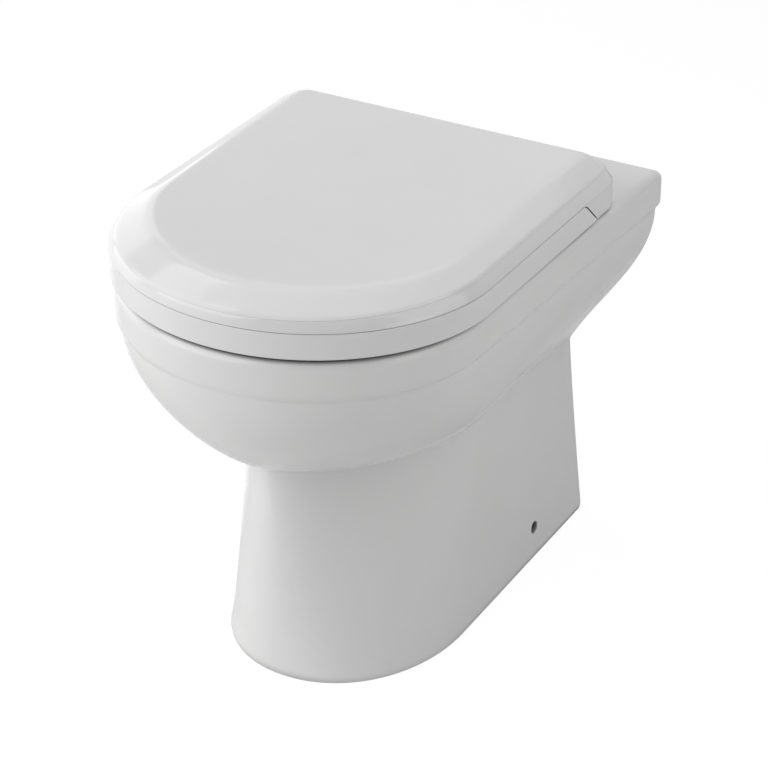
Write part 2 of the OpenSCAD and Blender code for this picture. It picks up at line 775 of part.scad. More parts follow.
module fixing_bolt(side) color(steel) sided(side)
  translate([half_spacing, bolt_y, 0]) {
    difference() {
      translate([0, 0, base_top_z]) cylinder(r = head_r, h = head_h);
      translate([0, 0, base_top_z + 2]) cylinder(r = 2.9, h = head_h, $fn = 6);
    }
    translate([0, 0, bolt_end_z]) cylinder(r = bolt_r, h = base_top_z - bolt_end_z + 1);
  }

module washer_stack(z, height, outer_r, inner_r)
  for (s = [-1, 1])
    translate([s * half_spacing, bolt_y, z])
      difference() {
        cylinder(r = outer_r, h = height);
        translate([0, 0, -1]) cylinder(r = inner_r, h = height + 2);
      }
module fixing_sleeves() color(rubber_grey)
  washer_stack(deck_under_z + 1, rim_height - deck_under_z - 1, bolt_hole_d / 2 - fastener_gap,
    bolt_r + fastener_gap);
module fixing_washers() color(rubber_grey)
  washer_stack(deck_under_z - washer_wall, washer_wall, washer_r, bolt_r + fastener_gap);
module wing_nuts() color(white_plastic)
  for (s = [-1, 1])
    translate([s * half_spacing, bolt_y, deck_under_z - washer_wall - nut_h])
      difference() {
        union() {
          cylinder(r = nut_r, h = nut_h);
          translate([-nut_r - wing_reach, -wing_wall / 2, 0])
            cube([2 * (nut_r + wing_reach), wing_wall, nut_h - 2]);
        }
        translate([0, 0, -1]) cylinder(r = bolt_r + 0.05, h = nut_h + 2);
      }

// ---- floor fixings, inside the foot ----

module floor_bracket(side) color(steel) sided(side) difference() {
  union() {
    translate([bracket_x, side_hole_y - bracket_length / 2, 0])
      cube([bracket_wall, bracket_length, bracket_height]);
    translate([bracket_x - bracket_foot, side_hole_y - bracket_length / 2, 0])
      cube([bracket_foot + 1, bracket_length, bracket_wall]);
    translate([bracket_x, side_hole_y, side_hole_height])
      rotate([0, 90, 0]) cylinder(r = bracket_boss_r, h = side_wall_x - 0.5 - bracket_x);
  }
  for (y = [-1, 1])
    translate([bracket_x - bracket_foot / 2, side_hole_y + y * bracket_spacing / 2, -1])
      cylinder(d = bracket_hole_d, h = bracket_wall + 2);
  translate([bracket_x - 5, side_hole_y, side_hole_height])
    rotate([0, 90, 0]) cylinder(r = side_screw_r + 0.05, h = 30);
}

module side_sleeves() color(rubber_grey)
  for (s = [-1, 1])
    translate([s * (side_wall_x + 0.5), side_hole_y, side_hole_height])
      rotate([0, s * 90, 0])
        difference() {
          cylinder(r = side_hole_d / 2 - 0.3, h = sleeve_length);
          translate([0, 0, -1]) cylinder(r = side_screw_r + 0.3, h = sleeve_length + 2);
        }

module side_screw(side) color(steel) sided(side)
  translate([0, side_hole_y, side_hole_height])
    rotate([0, 90, 0]) {
      translate([0, 0, bracket_x - 6])
        cylinder(r = side_screw_r, h = side_head_x - bracket_x + 7);
      translate([0, 0, side_head_x]) cylinder(r = side_head_r, h = side_head_h);
    }

module inlet_seal() color(rubber_grey)
  translate([0, wall_y - 0.5, inlet_height])
    rotate([90, 0, 0])
      difference() {
        cylinder(r = inlet_d / 2 - 0.3, h = china_wall + 1);
        translate([0, 0, -1]) cylinder(r = inlet_d / 2 - 5, h = china_wall + 4);
      }

pan();
seat_ring();
lid();
seat_buffers();
lid_buffers();
hinge_pillar(-1);  // hinge_pillar_left
hinge_pillar(1);  // hinge_pillar_right
hinge_base(-1);  // hinge_base_left
hinge_base(1);  // hinge_base_right
hinge_pin(-1);  // hinge_pin_left
hinge_pin(1);  // hinge_pin_right
pin_clips();
seat_damper();
lid_damper();
deck_gaskets();
fixing_bolt(-1);  // fixing_bolt_left
fixing_bolt(1);  // fixing_bolt_right
fixing_sleeves();
fixing_washers();
wing_nuts();
floor_bracket(-1);  // floor_bracket_left
floor_bracket(1);  // floor_bracket_right
side_screw(-1);  // side_screw_left
side_screw(1);  // side_screw_right
side_sleeves();
inlet_seal();
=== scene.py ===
import math

import bpy
import numpy as np
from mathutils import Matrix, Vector


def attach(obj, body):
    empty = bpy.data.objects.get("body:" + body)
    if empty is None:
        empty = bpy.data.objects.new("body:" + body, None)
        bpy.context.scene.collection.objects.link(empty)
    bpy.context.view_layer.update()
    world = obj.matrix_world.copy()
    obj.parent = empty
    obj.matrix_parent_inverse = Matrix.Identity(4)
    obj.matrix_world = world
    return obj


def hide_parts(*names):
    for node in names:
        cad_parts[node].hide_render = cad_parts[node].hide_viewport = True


# Back to wall toilet. The frame gives the solids; this file smooths the mouldings and dresses them.
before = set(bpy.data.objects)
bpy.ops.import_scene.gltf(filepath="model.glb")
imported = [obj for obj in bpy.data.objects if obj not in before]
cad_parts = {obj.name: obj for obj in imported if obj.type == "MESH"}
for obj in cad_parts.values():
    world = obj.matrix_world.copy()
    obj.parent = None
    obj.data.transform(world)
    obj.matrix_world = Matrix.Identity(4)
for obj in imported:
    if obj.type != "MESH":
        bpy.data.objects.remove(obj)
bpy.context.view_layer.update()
print("frame loaded:", len(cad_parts), "nodes")

scene = bpy.context.scene
scene.view_settings.view_transform = "Standard"
mm = 0.001

# points along each stretch of a moulding's ring
ringCounts = {"front": 120, "side": 44, "corner": 12, "back": 8}


# ---- outlines, in millimetres ----

def mix(a, b, t):
    return a + (b - a) * t


def ease(t):
    return t * t * (3 - 2 * t)


def clamp01(t):
    return max(0.0, min(1.0, t))


def quarter(t, e, p):
    return (1 - (1 - t ** e) ** p) ** (1 / p)


def frontArc(half, tipY, midY, n):
    t = np.linspace(0, math.pi, ringCounts["front"] + 1)
    c, s = np.cos(t), np.clip(np.sin(t), 0, 1)
    x = half * np.sign(c) * np.abs(c) ** (2 / n)
    y = midY - (midY - tipY) * s ** (2 / n)
    x[0], x[-1], y[0], y[-1] = half, -half, midY, midY
    return np.column_stack([x, y])


def dOutline(half, tipY, midY, n, rearHalf, backY, r):
    # front arc, left side, left corner, back, right corner, right side
    k = np.arange(1, ringCounts["side"] + 1) / ringCounts["side"]
    side = np.column_stack([-mix(half, rearHalf, k), mix(midY, backY - r, k)])
    a = np.arange(1, ringCounts["corner"] + 1) / ringCounts["corner"] * math.pi / 2
    corner = np.column_stack([-rearHalf + r - r * np.cos(a), backY - r + r * np.sin(a)])
    b = np.arange(1, ringCounts["back"] // 2 + 1) / ringCounts["back"]
    back = np.column_stack([-(rearHalf - r) * (1 - 2 * b), np.full(len(b), backY)])
    left = np.vstack([side, corner, back])
    right = left[-2::-1] * [-1, 1]
    return np.vstack([frontArc(half, tipY, midY, n), left, right])


rearCount = 2 * (ringCounts["side"] + ringCounts["corner"]) + ringCounts["back"]


def eggOutline(half, tipY, backY, n, mid=0.55):
    midY = mix(tipY, backY, mid)
    t = np.arange(1, rearCount) / rearCount * math.pi
    rear = np.column_stack([-half * np.cos(t), midY + (backY - midY) * np.sin(t)])
    return np.vstack([frontArc(half, tipY, midY, n), rear])


def level(outline, z):
    return np.column_stack([outline, np.full(len(outline), z)])


# ---- mesh helpers ----

def meshObject(name, points, faces, sharpAngle=40):
    mesh = bpy.data.meshes.new(name)
    mesh.from_pydata((np.asarray(points, float) * mm).tolist(), [], faces)
    mesh.validate()
    mesh.shade_smooth()
    mesh.set_sharp_from_angle(angle=math.radians(sharpAngle))
    made = bpy.data.objects.new(name, mesh)
    scene.collection.objects.link(made)
    return made


def bandFaces(count, size, looped):
    faces = []
    for j in range(count if looped else count - 1):
        m = (j + 1) % count
        for i in range(size):
            k = (i + 1) % size
            faces.append((j * size + i, m * size + i, m * size + k, j * size + k))
    return faces


def cappedFaces(count, size):
    # bands between the rings, and one face over each end
    faces = bandFaces(count, size, False)
    faces.append(tuple(range(size)))
    faces.append(tuple(count * size - 1 - i for i in range(size)))
    return faces


def loopMesh(name, rings, sharpAngle):
    # the last ring joins the first
    return meshObject(name, np.vstack(rings), bandFaces(len(rings), len(rings[0]), True), sharpAngle)


def cappedMesh(name, rings, sharpAngle):
    return meshObject(name, np.vstack(rings), cappedFaces(len(rings), len(rings[0])), sharpAngle)


def lathe(name, profile, centre, axis, steps=64):
    # profile: (distance along the axis, radius) pairs of a closed solid of revolution
    turn = Vector((0, 0, 1)).rotation_difference(Vector(axis)).to_matrix()
    points = []
    for along, radius in profile:
        for i in range(steps):
            a = 2 * math.pi * i / steps
            p = turn @ Vector((radius * math.cos(a), radius * math.sin(a), along))
            points.append([centre[q] + p[q] for q in range(3)])
    return meshObject(name, points, [f[::-1] for f in cappedFaces(len(profile), steps)])


def prism(name, outline, fromX, toX):
    # YZ outline pushed across the part
    n = len(outline)
    points = [[fromX, y, z] for y, z in outline] + [[toX, y, z] for y, z in outline]
    faces = [(i, (i + 1) % n, n + (i + 1) % n, n + i) for i in range(n)]
    faces += [tuple(range(n - 1, -1, -1)), tuple(range(n, 2 * n))]
    return meshObject(name, points, faces)


def block(name, low, high):
    (x0, y0, z0), (x1, y1, z1) = low, high
    return prism(name, [(y0, z0), (y1, z0), (y1, z1), (y0, z1)], x0, x1)


def signedVolume(obj):
    mesh = obj.data
    mesh.calc_loop_triangles()
    v = np.empty(len(mesh.vertices) * 3)
    mesh.vertices.foreach_get("co", v)
    v = v.reshape(-1, 3)
    t = np.empty(len(mesh.loop_triangles) * 3, int)
    mesh.loop_triangles.foreach_get("vertices", t)
    a, b, c = v[t.reshape(-1, 3).T]
    return float(np.einsum("ij,ij->i", a, np.cross(b, c)).sum() / 6)


def outward(obj):
    if signedVolume(obj) < 0:
        obj.data.flip_normals()
    return obj


def combine(base, others, operation, sharpAngle=40):
    # Boolean with each of the others in turn, written back into the base mesh
    for other in others:
        outward(other)
        step = base.modifiers.new("step", "BOOLEAN")
        step.operation = operation
        step.solver = "MANIFOLD"
        step.object = other
        bpy.context.view_layer.update()
        graph = bpy.context.evaluated_depsgraph_get()
        fresh = bpy.data.meshes.new_from_object(base.evaluated_get(graph))
        base.modifiers.clear()
        old = base.data
        fresh.name = old.name
        base.data = fresh
        bpy.data.meshes.remove(old)
        bpy.data.objects.remove(other)
    base.data.shade_smooth()
    base.data.set_sharp_from_angle(angle=math.radians(sharpAngle))
    return base


def evenShading(obj):
    # large faces lead the normals, so that holes leave no smears round them
    even = obj.modifiers.new("evenShading", "WEIGHTED_NORMAL")
    even.keep_sharp = True


def smoothCurve(points, count):
    # Catmull-Rom through the points, sampled evenly between them
    p = np.asarray(points, float)
    p = np.vstack([2 * p[0] - p[1], p, 2 * p[-1] - p[-2]])
    made = []
    for i in range(1, len(p) - 2):
        for k in range(count):
            t = k / count
            a, b, c, d = p[i - 1], p[i], p[i + 1], p[i + 2]
            made.append(0.5 * (2 * b + (c - a) * t + (2 * a - 5 * b + 4 * c - d) * t ** 2
                               + (3 * b - a - 3 * c + d) * t ** 3))
    made.append(p[-2])
    return np.array(made)


# ---- materials ----

def nodeMaterial(name):
    made = bpy.data.materials.new(name)
    made.use_nodes = True
    tree = made.node_tree
    shader = tree.nodes["Principled BSDF"]
    return made, tree, shader


def addNode(tree, kind, **values):
    node = tree.nodes.new(kind)
    for key, value in values.items():
        setattr(node, key, value)
    return node


def noiseOf(tree, scale, detail=3, stretch=(1, 1, 1)):
    place = addNode(tree, "ShaderNodeTexCoord")
    spread = addNode(tree, "ShaderNodeMapping")
    spread.inputs["Scale"].default_value = stretch
    noise = addNode(tree, "ShaderNodeTexNoise")
    noise.inputs["Scale"].default_value = scale
    noise.inputs["Detail"].default_value = detail
    tree.links.new(place.outputs["Object"], spread.inputs["Vector"])
    tree.links.new(spread.outputs["Vector"], noise.inputs["Vector"])
    return noise.outputs["Fac"]


def rangeOf(tree, source, low, high):
    spread = addNode(tree, "ShaderNodeMapRange")
    spread.inputs["From Min"].default_value = 0.3
    spread.inputs["From Max"].default_value = 0.7
    spread.inputs["To Min"].default_value = low
    spread.inputs["To Max"].default_value = high
    tree.links.new(source, spread.inputs["Value"])
    return spread.outputs["Result"]


def colourSockets(sockets):
    return [socket for socket in sockets if socket.type == "RGBA"]


def tintOf(tree, source, first, second):
    blend = addNode(tree, "ShaderNodeMix", data_type="RGBA")
    for socket, colour in zip(colourSockets(blend.inputs), (first, second)):
        socket.default_value = (*colour, 1)
    tree.links.new(source, blend.inputs["Factor"])
    return colourSockets(blend.outputs)[0]


def bumpOf(tree, shader, source, strength, distance):
    bump = addNode(tree, "ShaderNodeBump")
    bump.inputs["Strength"].default_value = strength
    bump.inputs["Distance"].default_value = distance
    tree.links.new(source, bump.inputs["Height"])
    tree.links.new(bump.outputs["Normal"], shader.inputs["Normal"])


def paintCreviceShade(tree, shader, tint, reach):
    # painted shade: the colour and the gloss darken in narrow gaps and seams, where light falls off
    nearby = addNode(tree, "ShaderNodeAmbientOcclusion", samples=12)
    nearby.inputs["Distance"].default_value = reach
    spread = addNode(tree, "ShaderNodeMapRange", interpolation_type="SMOOTHSTEP")
    spread.inputs["From Min"].default_value = 0.05
    spread.inputs["From Max"].default_value = 0.8
    tree.links.new(nearby.outputs["AO"], spread.inputs["Value"])
    shade = addNode(tree, "ShaderNodeMix", data_type="RGBA", blend_type="MULTIPLY")
    shade.inputs["Factor"].default_value = 1
    for socket, colour in zip(colourSockets(shade.inputs), (tint, spread.outputs["Result"])):
        tree.links.new(colour, socket)
    gloss = addNode(tree, "ShaderNodeMath", operation="MULTIPLY")
    gloss.inputs[1].default_value = 0.5
    tree.links.new(spread.outputs["Result"], gloss.inputs[0])
    tree.links.new(gloss.outputs[0], shader.inputs["Specular IOR Level"])
    return colourSockets(shade.outputs)[0]


def surface(name, first, second, rough, cloud, grain, bump, metallic=0.0, stretch=(1, 1, 1), paintedShadeReach=0.0):
    # first and second: colours the surface drifts between; cloud and grain: noise scales
    # bump: strength and metres; the last argument: metres over which painted shade darkens gaps and seams
    made, tree, shader = nodeMaterial(name)
    drift = noiseOf(tree, cloud, 4)
    fine = noiseOf(tree, grain, 2, stretch)
    tint = tintOf(tree, rangeOf(tree, drift, 0, 1), first, second)
    # painted shade in gaps and seams, in the colour and the gloss
    if paintedShadeReach:
        tint = paintCreviceShade(tree, shader, tint, paintedShadeReach)
    tree.links.new(tint, shader.inputs["Base Color"])
    tree.links.new(rangeOf(tree, fine, *rough), shader.inputs["Roughness"])
    bumpOf(tree, shader, fine, *bump)
    shader.inputs["Metallic"].default_value = metallic
    return made


finishes = {
    "china": dict(first=(0.86, 0.86, 0.855), second=(0.88, 0.88, 0.88), rough=(0.12, 0.17),
                  cloud=9, grain=16, bump=(0.05, 0.002), paintedShadeReach=0.016),
    "seatPlastic": dict(first=(0.87, 0.87, 0.87), second=(0.885, 0.885, 0.885), rough=(0.06, 0.1),
                        cloud=14, grain=18, bump=(0.05, 0.0012), paintedShadeReach=0.006),
    "bufferRubber": dict(first=(0.78, 0.78, 0.77), second=(0.84, 0.84, 0.83), rough=(0.5, 0.65),
                         cloud=60, grain=900, bump=(0.15, 0.0004)),
    "chrome": dict(first=(0.74, 0.75, 0.76), second=(0.8, 0.81, 0.82), rough=(0.06, 0.14),
                   cloud=40, grain=500, bump=(0.03, 0.0002), metallic=1.0),
    "pinSteel": dict(first=(0.55, 0.55, 0.56), second=(0.66, 0.66, 0.67), rough=(0.22, 0.36),
                     cloud=80, grain=400, bump=(0.15, 0.0003), metallic=1.0, stretch=(0.1, 1, 1)),
    "boltSteel": dict(first=(0.5, 0.5, 0.5), second=(0.64, 0.64, 0.63), rough=(0.25, 0.42),
                      cloud=90, grain=500, bump=(0.18, 0.0003), metallic=1.0, stretch=(1, 1, 0.2)),
    # painted shade: the side screws are near black so that the side holes read as shaded
    "holeShadeSteel": dict(first=(0.04, 0.04, 0.04), second=(0.08, 0.08, 0.08), rough=(0.4, 0.55),
                      cloud=90, grain=500, bump=(0.18, 0.0003), metallic=1.0, stretch=(1, 1, 0.2)),
    "bracketSteel": dict(first=(0.52, 0.54, 0.56), second=(0.68, 0.69, 0.7), rough=(0.3, 0.5),
                         cloud=55, grain=240, bump=(0.12, 0.0003), metallic=1.0),
    "damperPlastic": dict(first=(0.27, 0.28, 0.29), second=(0.33, 0.34, 0.35), rough=(0.38, 0.5),
                          cloud=40, grain=900, bump=(0.15, 0.0003)),
    "gasketRubber": dict(first=(0.03, 0.03, 0.032), second=(0.06, 0.06, 0.06), rough=(0.55, 0.75),
                         cloud=50, grain=700, bump=(0.25, 0.0004)),
    "nutPlastic": dict(first=(0.8, 0.8, 0.78), second=(0.86, 0.86, 0.84), rough=(0.35, 0.5),
                       cloud=40, grain=700, bump=(0.12, 0.0003)),
}
materials = {name: surface(name, **spec) for name, spec in finishes.items()}
print("finishes made:", len(materials))


def dress(obj, material):
    obj.data.materials.clear()
    obj.data.materials.append(materials[material])


# ---- pan ----

pan = {
    "wall": 258, "front": -258, "straight": -87, "rim": 400, "rimHalf": 176.5, "wallHalf": 184, "wallStep": 5,
    "collarTip": -256.5, "ledgeHalf": 171.5, "ledgeTip": -254, "ledgeTop": 366, "ledge": 358.5,
    # inset and height of each ring from the collar down to the ledge
    "collarFoot": [(0, 369), (0.15, 367.4), (0.6, 365.6), (1.4, 363.8), (2.6, 362.2), (3.8, 360.8), (4.6, 359.7)],
    "footHalf": 113, "footTip": -146, "footStraight": -4, "footWallHalf": 113.5, "footRound": 10,
    "footCorner": 2.5, "toeFlare": 1.6,
    "neckHalf": 98, "neckTip": -165, "neckStraight": 59, "neckWallHalf": 94,
    "neckSideZ": 219, "neckTipZ": 241, "neckWallZ": 195,
    # superellipse powers of the front outlines
    "rimPower": 2.02, "neckPower": 1.7, "footPower": 2.08,
    "corner": 1.5, "rimRound": 9, "rearRound": 5, "china": 12,
    "bowlHalf": 120, "bowlFront": -205, "bowlBack": 90,
    "sumpHalf": 46, "sumpLength": 96, "sumpBack": 33, "sumpFloor": 72,
    "shell": 11, "trapWall": 8, "channel": 16, "channelFloor": 352, "channelTop": 386,
    "lipBottom": 364, "lipWall": 8, "lipRound": 3.5, "innerRound": 5, "deckUnder": 384, "cavityTop": 345,
    "outletZ": 180, "outletR": 51, "bore": 35, "bend": 46, "spigotEnd": 244, "spigotLength": 18,
    "spigotInside": 39, "archR": 72, "archDepth": 20, "pocketHalf": 148,
    "inletZ": 335, "inletR": 27.5, "inletDepth": 18, "ductR": 20, "ductWall": 7,
    "boltX": 77.5, "boltY": 136.5, "boltHoleR": 8,
    "sideHoleY": 155, "sideHoleZ": 32, "sideHoleR": 6.5, "sideHoleSpan": (80, 110.3, 140),
    "hullSteps": 40, "hullSpacing": 1.25, "roundSteps": 96, "sharpAngle": 75,
}


def neckHeights():
    n = ringCounts
    front = mix(pan["neckSideZ"], pan["neckTipZ"], np.sin(np.linspace(0, math.pi, n["front"] + 1)) ** 2)
    k = np.minimum(np.arange(1, rearCount), rearCount - np.arange(1, rearCount))
    rear = mix(pan["neckSideZ"], pan["neckWallZ"], np.minimum(1, k / n["side"]))
    return np.concatenate([front, rear])


neckZ = neckHeights()


def hullRing(u, inset):
    # u: 0 at the neck, 1 at the ledge
    side, tip = quarter(u, 1.1, 1.7), quarter(u, 1.12, 1.76)
    flare = mix(ease(u), math.sin(math.pi / 2 * u), 0.65)
    half = mix(pan["neckHalf"], pan["ledgeHalf"], side) - inset
    tipY = mix(pan["neckTip"], pan["ledgeTip"], tip) + inset
    rearHalf = mix(pan["neckWallHalf"], pan["wallHalf"] - pan["wallStep"], flare) - inset
    outline = dOutline(half, tipY, mix(pan["neckStraight"], pan["straight"], side),
                       mix(pan["neckPower"], pan["rimPower"], side), rearHalf, pan["wall"] - inset, pan["corner"])
    return np.column_stack([outline, mix(neckZ + inset, pan["ledge"], u)])


def pedestalRing(k, inset):
    # k: 0 on the floor, 1 at the neck
    toe = pan["toeFlare"] * (1 - clamp01(k * 5)) ** 2
    corner = pan["footCorner"] * (1 - clamp01(k * pan["neckSideZ"] / pan["footRound"])) ** 2
    half = mix(pan["footHalf"], pan["neckHalf"], k) + toe - inset
    tipY = mix(pan["footTip"], pan["neckTip"], k) - toe + inset
    rearHalf = mix(pan["neckWallHalf"], pan["footWallHalf"], (1 - k) ** 1.15) - corner - inset
    outline = dOutline(half, tipY, mix(pan["footStraight"], pan["neckStraight"], k),
                       mix(pan["footPower"], pan["neckPower"], k), rearHalf, pan["wall"] - inset, pan["corner"])
    return np.column_stack([outline, k * neckZ])


def rimRing(inset, rearInset, z, tipInset=None):
    tip = inset if tipInset is None else tipInset
    back = pan["wall"] - inset * pan["rearRound"] / pan["rimRound"] * (z > pan["ledgeTop"] + 10)
    return level(dOutline(pan["rimHalf"] - inset, pan["collarTip"] + tip, pan["straight"], pan["rimPower"],
                          pan["wallHalf"] - rearInset, back, pan["corner"]), z)


def bowlRing(u, out):
    return eggOutline(
        mix(pan["sumpHalf"], pan["bowlHalf"] - 2, u ** 1.35) + out,
        mix(pan["sumpBack"] - pan["sumpLength"], pan["bowlFront"] + 5, u ** 1.3) - out,
        mix(pan["sumpBack"], pan["bowlBack"], u ** 1.3) + out, mix(1.75, 2, u))


trapU = (pan["sumpBack"] + pan["trapWall"] + 3, pan["sumpFloor"] + pan["bore"] + pan["bend"])
riseAngle, fallAngle = math.radians(70), math.radians(60)


def bowlZ(u):
    return mix(trapU[1], pan["channelFloor"] - 4, u)


def trapRing(y, z, turn, halfW, halfL, out):
    egg = eggOutline(halfW + out, -halfL - out, halfL + out, 2, 0.5)
    return np.column_stack([egg[:, 0], y - egg[:, 1] * math.sin(turn), z + egg[:, 1] * math.cos(turn)])


def trapRings(out, fine):
    bend, bore = pan["bend"], pan["bore"]
    riserY, riserZ = trapU[0] + bend * math.sin(riseAngle), trapU[1] - bend * math.cos(riseAngle)
    crestZ = pan["outletZ"] + 2 * bend * (1 - math.cos(fallAngle))
    riser = (crestZ - bend * (1 - math.cos(riseAngle)) - riserZ) / math.sin(riseAngle)
    crestY = riserY + riser * math.cos(riseAngle) + bend * math.sin(riseAngle)
    outletY = crestY + 2 * bend * math.sin(fallAngle)

    def bendRing(y, z, turn, r):
        return trapRing(y + r * math.sin(turn), z - r * math.cos(turn), turn, bore, bore, out)

    def uRing(turn):
        t = ease(clamp01((math.degrees(turn) + 90) / 80))
        halfL = mix(pan["sumpLength"] / 2, bore, t)
        r = halfL + bend - bore
        return trapRing(trapU[0] + r * math.sin(turn), trapU[1] - r * math.cos(turn), turn,
                        mix(pan["sumpHalf"], bore, t), halfL, out)

    rings = [trapRing(pan["spigotEnd"] - 6, pan["outletZ"], 0, bore, bore, out)]
    n = 4 * fine
    rings += [bendRing(outletY, pan["outletZ"] + bend, -fallAngle * k / n, bend) for k in range(n)]
    n = 6 * fine
    rings += [bendRing(crestY, crestZ - bend, mix(-fallAngle, riseAngle, k / n), -bend) for k in range(n + 1)]
    n = 9 * fine
    rings += [uRing(mix(riseAngle, -math.pi / 2, k / n)) for k in range(n + 1)]
    return rings


def rimInside():
    b, f, r = pan["bowlHalf"], pan["bowlFront"], pan["bowlBack"]
    c, lip, top = pan["channel"], pan["lipWall"], pan["rim"]
    floor, roof, low = pan["channelFloor"], pan["channelTop"], pan["lipBottom"]
    lipR, edgeR = pan["lipRound"], pan["innerRound"]

    def egg(out, z):
        return level(eggOutline(b + out, f - out, r + out, 2), z)

    rings = [egg(c - 4, floor), egg(c - 1.2, floor + 1.6), egg(c, floor + 5), egg(c, roof - 3),
             egg(c - 2, roof), egg(lip + 2, roof), egg(lip, roof - 3), egg(lip - 1, low + 2)]
    for a in np.linspace(0, math.pi, 9):  # rounded bottom of the lip
        rings.append(egg(lipR + lipR * math.cos(a), low + 2 - 2 * math.sin(a)))
    for a in np.linspace(0, math.pi / 2, 7):  # inner edge of the rim
        rings.append(egg(edgeR - edgeR * math.cos(a), top - edgeR + edgeR * math.sin(a)))
    return rings


def rimOutside():
    rings, r = [], pan["rimRound"]
    for a in np.linspace(0, math.pi / 2, 12):  # outer edge of the rim
        inset = r - r * math.sin(a)
        rings.append(rimRing(inset, inset, pan["rim"] - r + r * math.cos(a)))
    rings.append(rimRing(0, 0, pan["rim"] - 12))
    rings.append(rimRing(0, 0, pan["ledgeTop"] + 6))
    for inset, z in pan["collarFoot"]:
        rings.append(rimRing(inset, inset, z, tipInset=inset * 0.5))
    return rings


def panOutside():
    # the hull from the ledge down, a fillet over the crease, and the pedestal down to its toe
    steps, spacing = pan["hullSteps"], pan["hullSpacing"]
    hull = [hullRing((k / steps) ** spacing, 0) for k in range(steps, 0, -1)]
    edge, joint, foot = hullRing((1 / steps) ** spacing, 0), hullRing(0, 0), pedestalRing(0.988, 0)
    fillet = [(1 - t) ** 2 * edge + 2 * t * (1 - t) * joint + t * t * foot for t in np.linspace(0, 1, 7)[1:]]
    body = [pedestalRing(k, 0) for k in np.linspace(0.965, 0.12, 29)]
    toe = [pedestalRing(k, 0) for k in (0.1, 0.08, 0.06, 0.04, 0.02, 0.008, 0.0)]
    return hull + fillet + body + toe


def panHollow():
    w, s, roof = pan["china"], pan["shell"], pan["cavityTop"]
    rings = [pedestalRing(k, w) for k in (0, 0.1, 0.25, 0.5, 0.75, 0.98)]
    rings += [hullRing(u, w) for u in (0.08, 0.14, 0.2, 0.3, 0.4, 0.5, 0.6, 0.72, 0.85)]
    outer = dOutline(pan["ledgeHalf"] - w, pan["ledgeTip"] + w, pan["straight"], pan["rimPower"],
                     pan["wallHalf"] - pan["wallStep"] - w, pan["wall"] - w, pan["corner"])
    inner = eggOutline(pan["bowlHalf"] + s - 1, pan["bowlFront"] - s + 3, pan["bowlBack"] + s, 2)
    rings += [level(outer, roof), level(inner, roof)]
    for k in range(14, 0, -1):
        u = (k / 15) ** 1.2
        rings.append(level(bowlRing(u, mix(pan["trapWall"], s, u)), bowlZ(u) - 5 * u))
    return rings


def roundedHole(name, centre, axis, radius, span, lip=1.2):
    # hole cutter whose mouth is rounded where it meets the glaze; span: start, mouth and end
    start, mouth, end = span
    profile = [(start, radius), (mouth - lip * 0.6, radius)]
    for s in (0.3, 0.6, 0.85, 1.0):
        profile.append((mouth + lip * (s - 0.6), radius + lip * (1 - math.sqrt(max(0, 1 - s * s)))))
    profile.append((end, profile[-1][1] + (end - mouth) * 0.2))
    return lathe(name, profile, centre, axis)


def openTube(obj, count, steps):
    # drops the end caps of a lathe and joins its last ring to its first
    mesh = obj.data
    points = [v.co.copy() for v in mesh.vertices]
    faces = [f[::-1] for f in bandFaces(count, steps, True)]
    mesh.clear_geometry()
    mesh.from_pydata([tuple(p) for p in points], [], faces)
    mesh.validate()


def rearHollows():
    # arch for the soil pipe in the rear wall, and the pocket under the deck
    wall, r, depth, half = pan["wall"], pan["archR"], pan["archDepth"], pan["pocketHalf"]
    arch = lathe("arch", [(-depth, r), (depth, r)], (0, wall, pan["outletZ"]), (0, 1, 0), pan["roundSteps"])
    archFoot = block("archFoot", (-r, wall - depth, -1), (r, wall + depth, pan["outletZ"]))
    pocket = block("pocket", (-half, pan["bowlBack"] + pan["channel"] + 10, pan["cavityTop"] - 5),
                   (half, wall - pan["china"], pan["deckUnder"]))
    return [arch, archFoot, pocket]


def soilSpigot():
    r, inside, length = pan["outletR"], pan["spigotInside"], pan["spigotLength"]
    profile = [(-length, inside), (-length, r), (-1.5, r), (-0.4, r - 0.4), (0, r - 1.5), (0, inside)]
    spigot = lathe("spigot", profile, (0, pan["spigotEnd"], pan["outletZ"]), (0, 1, 0), pan["roundSteps"])
    openTube(spigot, len(profile), pan["roundSteps"])
    return spigot


def ductLathe(name, start, radius):
    # slopes up from the flush inlet to the channel under the rim
    startY = pan["wall"] - pan["china"] / 2
    endY = pan["bowlBack"] + pan["channel"] - 3
    endZ = (pan["channelFloor"] + pan["channelTop"]) / 2 - 3
    run = Vector((0, endY - startY, endZ - pan["inletZ"]))
    return lathe(name, [(start, radius), (run.length, radius)], (0, startY, pan["inletZ"]), run.normalized())


def panHoles():
    inlet = lathe("inlet", [(-pan["inletDepth"], pan["inletR"]), (1, pan["inletR"])],
                  (0, pan["wall"], pan["inletZ"]), (0, 1, 0), pan["roundSteps"])
    cutters = [ductLathe("ductBore", -1, pan["ductR"]), inlet]
    deckSpan = (pan["deckUnder"] - 10, pan["rim"], pan["rim"] + 20)
    for s in (-1, 1):
        cutters.append(roundedHole("boltHole", (s * pan["boltX"], pan["boltY"], 0), (0, 0, 1),
                                   pan["boltHoleR"], deckSpan))
        cutters.append(roundedHole("sideHole", (0, pan["sideHoleY"], pan["sideHoleZ"]), (s, 0, 0),
                                   pan["sideHoleR"], pan["sideHoleSpan"], 0.8))
    return cutters


